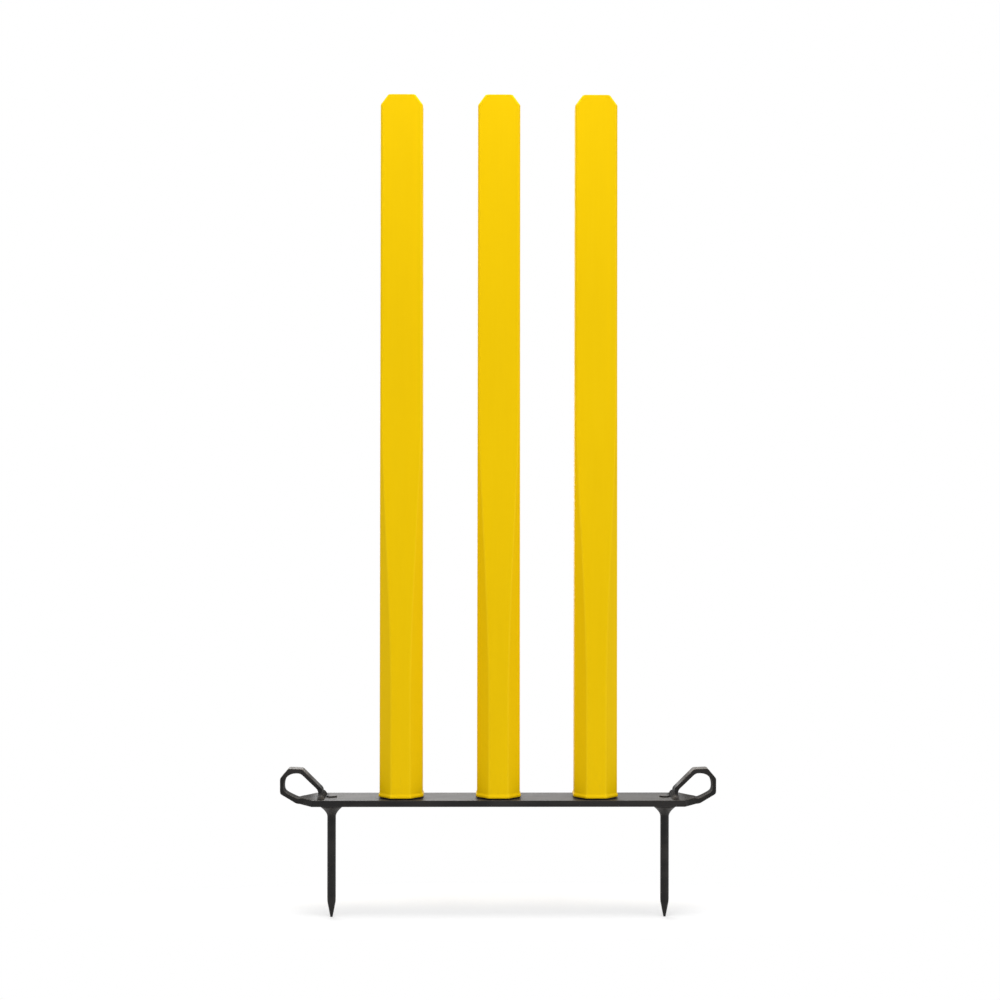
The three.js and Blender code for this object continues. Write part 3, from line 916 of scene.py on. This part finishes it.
spike = {
    "length": 114.5,
    "rod": 8.6,
    "point": 16.0,  # length of the cone
    "tip": 2.2,  # its width at the end
    "tipPole": 0.2,  # radius of the ring at the tip's middle
    "pointCuts": [0.5, 3.0],
    "cutSteps": 5,
    "collar": 23.0,
    "collarRim": 3.5,
    "rimRise": 0.4,  # from the flare's top to the rim
    "rimInset": 4.0,  # from the rim to the ring next to the middle
    "rimCut": 0.6,
    "flareLength": 10.0,
    "flarePower": 1.85,
    "flareLead": 1.0,  # from the rod's last ring to the flare
    "flareSteps": 14,
    "lineStep": 3.0,
    "gap": 0.1,  # to the bar
    "around": 48,
}
rivet = {
    "diameter": 10.6,
    "height": 1.2,
    "rimShare": 0.92,  # of the height, at the rim
    "sink": 0.8,  # into the bar
    "cuts": [0, 0.22, 1.0],
    "cutSteps": 5,
    "around": 48,
    "wear": 0.4,
}


def spikeSurface(centre):
    # Turned round Z: a cone point, a straight rod, a flare whose radius grows as a power of its height, a
    # rim.
    s = spike
    rod, collar = s["rod"] / 2, s["collar"] / 2
    up = np.linspace(0, 1, s["flareSteps"])
    flareRadius = rod + (collar - rod) * up ** s["flarePower"]
    flareHeight = -s["collarRim"] - s["flareLength"] * (1 - up)
    point = [
        (s["tipPole"], -s["length"]),
        (s["tip"] / 2, -s["length"]),
        (rod, s["point"] - s["length"]),
        (rod, flareHeight[0] - s["flareLead"]),
    ]
    rim = [(collar, s["rimRise"] - s["collarRim"]), (collar, -s["gap"]), (collar - s["rimInset"], -s["gap"])]
    flare = np.stack([flareRadius, flareHeight], -1)
    parts = [roundLine(point, s["pointCuts"], s["cutSteps"]), flare, roundLine(rim, s["rimCut"])]
    profile = refine(distinct(np.concatenate(parts)), s["lineStep"])
    # painted light, rising over the lower half of the flare and full above it
    forged = smoothRise(profile[:, 1], flareHeight[0], flareHeight[0] + s["flareLength"] / 2)
    return closedSurface(turned(profile, (centre, 0, 0), "Z", s["around"]), forged=forged[:, None])


def rivetSurface(centre):  # a low round head on the bar, turned round Z
    r = rivet
    seat = barTop + spike["gap"]
    radius = r["diameter"] / 2
    corners = [
        (poleRadius, seat - r["sink"]),
        (radius, seat - r["sink"]),
        (radius, seat + r["height"] * r["rimShare"]),
        (radius / 2, seat + r["height"]),
        (poleRadius, seat + r["height"]),
    ]
    return turnedSurface(corners, r, (centre, 0, 0), "Z")


def makeSpikes():
    for name in sides:
        low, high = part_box(f"{name}_spike")
        centre = (low.x + high.x) / 2 / mm
        skins = [spikeSurface(centre), rivetSurface(centre)]
        makePiece(f"{name}_ground_spike", skins, "base", "coated_steel", f"{name}_spike")


makeSpikes()
print("Spikes made")


# Foot pads

pad = {
    "top": 7.55,
    "grow": -0.7,  # past the stump's octagon
    "hole": 15.0,
    "edgeCut": 0.35,
    "cornerCut": 1.4,
}


def padSurface(centre):
    # An octagonal plate with a round hole: the grid runs from the hole's edge to the plate's edge and
    # back, at hole + share * (outline - hole).
    low, high = barTop + touchGap, pad["top"]
    corners = octagon(np.array([low, high]), np.full(2, pad["grow"]), np.zeros(2))
    outline = roundRings(corners, np.full(corners.shape[:2], pad["cornerCut"]))[0]
    angle = np.arctan2(outline[:, 1], outline[:, 0])
    hole = pad["hole"] / 2 * np.stack([np.cos(angle), np.sin(angle)], -1)
    cut = pad["edgeCut"]
    inner = 1 - cut / (stump["footAcross"] / 2 - pad["hole"] / 2)
    rows = [(0, low), (inner, low), (1, low + cut), (1, high - cut), (inner, high), (0, high)]
    share, z = np.array(rows).T
    plan = hole[None] * (1 - share[:, None, None]) + outline[None] * share[:, None, None]
    level = np.broadcast_to(z[:, None, None], (*plan.shape[:2], 1))
    return closedSurface(np.concatenate([plan, level], -1) + [centre, 0, 0], endless=True)


def makePads():
    for name, centre in stumpPlaces.items():
        makePiece(f"{name}_rubber_pad", [padSurface(centre)], "base", "rubber", f"{name}_foot_pad")


makePads()
print("Foot pads made")


# Eye bolts, washers and lock nuts

bolt = {
    "shank": 6.0,
    "end": -3.2,
    "flange": 12.0,
    "flangeHeight": 2.0,
    "neckFoot": 2.2,  # the neck's two radii
    "neckTop": 1.4,
    "neckHeight": 1.2,
    "cuts": [0.5, 0.1, 0.25, 0.6, 0.7, 0.4],
    "cutSteps": 4,
    "around": 40,
    "eyeInner": 7.6,
    "eyeWire": 3.6,
    "eyeSink": 0.6,
    "eyeSteps": 48,
    "eyeSides": 20,
    "wear": 0.2,
}
washer = {"diameter": 13.0, "hole": 6.6, "thickness": 0.7, "cut": 0.15, "around": 48, "wear": 0.15}
nut = {
    "across": 10.0,
    "hole": 6.6,
    "holeCut": 0.35,
    "coneShare": 0.97,  # of the way from the middle to a flat
    "coneAngle": 30.0,  # degrees
    "coneRise": 0.75,
    "coneSteps": 4,
    "around": 96,
    "wear": 0.15,
}
eyeRadius = (bolt["eyeInner"] + bolt["eyeWire"]) / 2
eyeHeight = barTop + bolt["flangeHeight"] + eyeRadius + bolt["eyeWire"] / 2 - bolt["eyeSink"]


def eyeSurface(centre):  # a circle carried round a circle in the plane across the bar
    angle = fullTurn(bolt["eyeSteps"])[:, None]
    around = fullTurn(bolt["eyeSides"])[None, :]
    out = eyeRadius + bolt["eyeWire"] / 2 * np.cos(around)
    x = centre + bolt["eyeWire"] / 2 * np.sin(around) + 0 * angle
    grid = np.stack([x, out * np.cos(angle), eyeHeight + out * np.sin(angle)], -1)
    return closedSurface(grid, endless=True, edge=bolt["wear"])


def shankSurface(centre):  # shank, flange and the neck that the eye stands on, turned round Z
    b = bolt
    shank, flange = b["shank"] / 2, b["flange"] / 2
    seat, top = barTop + touchGap, barTop + b["flangeHeight"]
    neckTop = top + b["neckHeight"]
    corners = [
        (poleRadius, b["end"]), (shank, b["end"]), (shank, seat), (flange, seat), (flange, top),
        (b["neckFoot"], top), (b["neckTop"], neckTop), (poleRadius, neckTop),
    ]
    return turnedSurface(corners, b, (centre, 0, 0), "Z")


def washerSurface(centre):  # a flat ring with its four edges cut off, turned round Z
    inner, outer = washer["hole"] / 2, washer["diameter"] / 2
    low, high, cut = -washer["thickness"], -touchGap, washer["cut"]
    profile = np.array([
        (inner, low + cut), (inner + cut, low), (outer - cut, low), (outer, low + cut),
        (outer, high - cut), (outer - cut, high), (inner + cut, high), (inner, high - cut),
    ])
    grid = turned(profile, (centre, 0, 0), "Z", washer["around"])
    return closedSurface(grid, endless=True, edge=washer["wear"])


def nutSurface(centre):
    # A hexagon whose corners are turned off by a cone: radius = least of the flat's line and the cone's
    # line.
    low, high = bolt["end"], -washer["thickness"] - touchGap
    flat, inner, cut = nut["across"] / 2, nut["hole"] / 2, nut["holeCut"]
    rise = np.linspace(0, nut["coneRise"], nut["coneSteps"])
    height = np.r_[low, low + rise, high - rise[::-1], high]
    fromFace = np.minimum(height - low, high - height)
    angle = fullTurn(nut["around"])
    hexagon = flat / np.cos((angle + np.pi / 6) % (np.pi / 3) - np.pi / 6)
    cone = flat * nut["coneShare"] + fromFace / math.tan(math.radians(nut["coneAngle"]))
    radius = np.minimum(hexagon[None, :], cone[:, None])
    radius[[0, -1]] = inner + cut
    radius = np.concatenate([radius, np.full((2, len(angle)), inner)])
    z = np.r_[height, high - cut, low + cut][:, None] + 0 * angle
    grid = np.stack([centre + radius * np.cos(angle), radius * np.sin(angle), z], -1)
    return closedSurface(grid, endless=True, edge=nut["wear"])


def makeBolts():
    for name, centre in stumpPlaces.items():
        boltSkins = [eyeSurface(centre), shankSurface(centre)]
        makePiece(f"{name}_eye", boltSkins, "base", "zinc_steel", f"{name}_eye_bolt")
        makePiece(f"{name}_washer", [washerSurface(centre)], "base", "zinc_steel", f"{name}_bolt_washer")
        makePiece(f"{name}_nut", [nutSurface(centre)], "base", "zinc_steel", f"{name}_lock_nut")


makeBolts()
print("Eye bolts, washers and nuts made")


# Pins

pin = {
    "diameter": 6.0,
    "tip": -16.2,
    "head": 11.0,
    "seat": 21.6,
    "headHeight": 1.8,
    "headRim": 0.8,  # height of the head's upright edge
    "domeWidth": 2.6,  # how far in its dome reaches
    "cuts": [0.5, 0, 0.2, 0.5, 2.0],
    "cutSteps": 5,
    "around": 44,
    "wear": 0.15,
}


def pinSurface(centre):  # a shank with a low domed head at the back, turned round an axis along Y
    shank, head = pin["diameter"] / 2, pin["head"] / 2
    seat, top = pin["seat"], pin["seat"] + pin["headHeight"]
    corners = [
        (poleRadius, pin["tip"]), (shank, pin["tip"]), (shank, seat), (head, seat),
        (head, seat + pin["headRim"]), (head - pin["domeWidth"], top), (poleRadius, top),
    ]
    return turnedSurface(corners, pin, (centre, 0, pinHeight), "Y")


def makePins():
    for name, centre in stumpPlaces.items():
        makePiece(f"{name}_pin", [pinSurface(centre)], f"{name}_post", "zinc_steel", f"{name}_spring_pin")


makePins()
print("Pins made")


# Return springs

spring = {
    "wire": 2.2,
    "wireSides": 14,
    "endShare": 0.72,  # of the wire's thickness at its cut ends
    "meanDiameter": 12.0,
    "coilGap": 0.8,
    "lead": 0.8,  # height between hook and coil
    "stepsPerTurn": 28,
    "entryAngle": 50.0,  # where the coil begins, round its axis
    "entryPull": 0.42,  # how long the wire runs on in the coil's direction
    "hookRadius": 5.0,
    "hookTurnShare": 0.575,
    "hookClearance": 0.5,
    "hookSteps": 40,
    "hookRise": 3.6,  # how far it runs on upwards from the hook
    "passingSteps": 12,
    "bendLow": 17.15,
    "bendHigh": 46.0,
}


def springPath():
    # Hook: a circle in the plane across the pin. Coil: (r cos a, r sin a, rising evenly). The wire passes
    # from one to the other on a cubic whose ends run on smoothly.
    s = spring
    coil, hook = s["meanDiameter"] / 2, s["hookRadius"]
    low = eyeHeight + bolt["eyeInner"] / 2 - s["hookClearance"] - s["wire"] / 2 + hook
    high = pinHeight + pin["diameter"] / 2 + s["hookClearance"] + s["wire"] / 2 - hook
    coilLow, coilHigh = low + hook + s["lead"], high - hook - s["lead"]
    turns = math.floor((coilHigh - coilLow) / (s["wire"] + s["coilGap"]))
    pitch = (coilHigh - coilLow) / turns
    entry = math.radians(s["entryAngle"])
    hookAngle = np.linspace(-2 * np.pi * s["hookTurnShare"], 0, s["hookSteps"])
    lower = np.stack([hook * np.cos(hookAngle), 0 * hookAngle, low + hook * np.sin(hookAngle)], -1)
    angle = np.linspace(entry, 2 * np.pi * turns - entry, turns * s["stepsPerTurn"])
    height = coilLow + pitch * angle / (2 * np.pi)
    helix = np.stack([coil * np.cos(angle), coil * np.sin(angle), height], -1)
    t = np.linspace(0, 1, s["passingSteps"] + 2)[1:-1, None]
    climb = pitch / (2 * np.pi)
    a, d = lower[-1], helix[0]
    b = a + [0, 0, s["hookRise"]]
    c = d - np.array([-coil * math.sin(entry), coil * math.cos(entry), climb]) * s["entryPull"]
    passing = (1 - t) ** 3 * a + 3 * (1 - t) ** 2 * t * b + 3 * (1 - t) * t**2 * c + t**3 * d
    half = np.concatenate([lower, passing])
    turnedOver = half[::-1] * [1, -1, -1] + [0, 0, low + high]
    path = np.concatenate([half, helix, turnedOver])
    tangent = np.gradient(path, axis=0)
    # a direction that is never along the wire: square to the hook's plane, along the coil's axis, and in
    # between square to the wire
    across = np.stack([0 * tangent[:, 0], -tangent[:, 2], tangent[:, 1]], -1)
    ends, coils = len(lower), len(half)
    across[:ends] = across[-ends:] = (0, -1, 0)
    across[coils:-coils] = (0, 0, 1)
    return path, across


def makeSprings():
    path, across = springPath()
    along = travelled(path)[:, None]
    radius = np.full(len(path), spring["wire"] / 2)
    radius[[0, -1]] *= spring["endShare"]
    for name, centre in stumpPlaces.items():
        grid = tubeAlong(path + [centre, 0, 0], across, radius, spring["wireSides"])
        skins = [closedSurface(grid, along=along)]
        made = makePiece(f"{name}_spring", skins, None, "spring_steel", f"{name}_return_spring")
        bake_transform(made)


makeSprings()
print("Springs made")


# Floor, light and background

studio = {
    "floorHeight": -spike["length"],
    "floorRadius": 9000.0,
    "floorSides": 64,
    "floorRingShares": [0.02, 0.1, 0.3, 1.0],
    "floorShade": (0.8, 0.8, 0.8),
    "floorGlow": 0.275,
    # an oval round the object's shadow: its middle, its stretch and how far out the white sets in
    "floorNear": {"middle": (0, 30), "stretch": (0.6, 2.2), "white": (130, 290)},
    "worldDiffuse": 0.48,
    "target": (0, 0, 300),
    "lamps": {
        # name: place in millimetres, size in metres, watts
        "top": ((0, -300, 1500), 1.0, 12.4),
        "key": ((2300, -1650, 850), 2.6, 21.5),
        "fill": ((-2000, -1850, 1150), 2.6, 9.0),
        "rear": ((-700, 2000, 1200), 2.6, 26.0),
    },
}


def lightPath(recipe, *kinds):  # 1 for rays of the given kinds
    rays = [recipe.node("ShaderNodeLightPath", output=f"Is {kind} Ray") for kind in kinds]
    found = rays[0]
    for ray in rays[1:]:
        found = found.maths("MAXIMUM", ray)
    return found


def makeWorld():  # white where it is seen or reflected, and less bright as light
    world = bpy.data.worlds.new("pale room")
    bpy.context.scene.world = world
    recipe = Recipe(world)
    direct = lightPath(recipe, "Camera", "Glossy", "Transmission")
    strength = studio["worldDiffuse"] + direct * (1 - studio["worldDiffuse"])
    white = recipe.node("ShaderNodeBackground", {}, {"Color": (1, 1, 1, 1), "Strength": strength})
    recipe.node("ShaderNodeOutputWorld", {}, {"Surface": white})


def floorMaterial():
    # Matt and pale with a faint glow of its own near the object, and plain white farther off.
    near = studio["floorNear"]
    recipe = Recipe(bpy.data.materials.new("pale floor"))
    stretched = recipe.place((*near["stretch"], 1))
    centre = (*np.multiply(near["middle"], near["stretch"]), studio["floorHeight"])
    ends = {0: stretched, 1: centre}
    away = recipe.node("ShaderNodeVectorMath", {"operation": "DISTANCE"}, ends, output="Value")
    direct = lightPath(recipe, "Camera", "Glossy")
    matt = recipe.node("ShaderNodeBsdfDiffuse", {}, {"Color": recipe.colour(studio["floorShade"])})
    glow = recipe.node("ShaderNodeEmission", {}, {"Strength": direct * studio["floorGlow"]})
    shaded = recipe.node("ShaderNodeAddShader", {}, {0: matt, 1: glow})
    white = recipe.node("ShaderNodeEmission", {}, {"Strength": 1.0})
    far = direct * away.between(*near["white"])
    mixed = recipe.node("ShaderNodeMixShader", {}, {0: far, 1: shaded, 2: white})
    recipe.node("ShaderNodeOutputMaterial", {}, {"Surface": mixed})
    return recipe.owner


def makeFloor():  # a disc of rings: x = radius cos, y = radius sin
    angle = fullTurn(studio["floorSides"])
    rings = np.array(studio["floorRingShares"]) * studio["floorRadius"]
    x, y = np.outer(rings, np.cos(angle)), np.outer(rings, np.sin(angle))
    grid = np.stack([x, y, np.full_like(x, studio["floorHeight"])], -1).reshape(-1, 3)
    mesh = bpy.data.meshes.new("floor")
    middle = list(range(len(angle)))
    mesh.from_pydata((grid * mm).tolist(), [], [middle, *gridFaces(*x.shape).tolist()])
    mesh.materials.append(floorMaterial())
    addObject("floor", mesh)


def makeLamps():  # each faces the target
    for name, (place, size, watts) in studio["lamps"].items():
        data = bpy.data.lights.new(f"{name} lamp", "AREA")
        data.shape = "DISK"
        data.size = size
        data.energy = watts
        lamp = addObject(f"{name} lamp", data)
        lamp.location = np.array(place) * mm
        back = np.subtract(place, studio["target"])
        back = back / np.linalg.norm(back)
        lamp.rotation_euler = (math.acos(back[2]), 0, math.atan2(back[0], -back[1]))


makeWorld()
makeFloor()
makeLamps()
bpy.context.scene.view_settings.view_transform = "Standard"
print("Studio made")
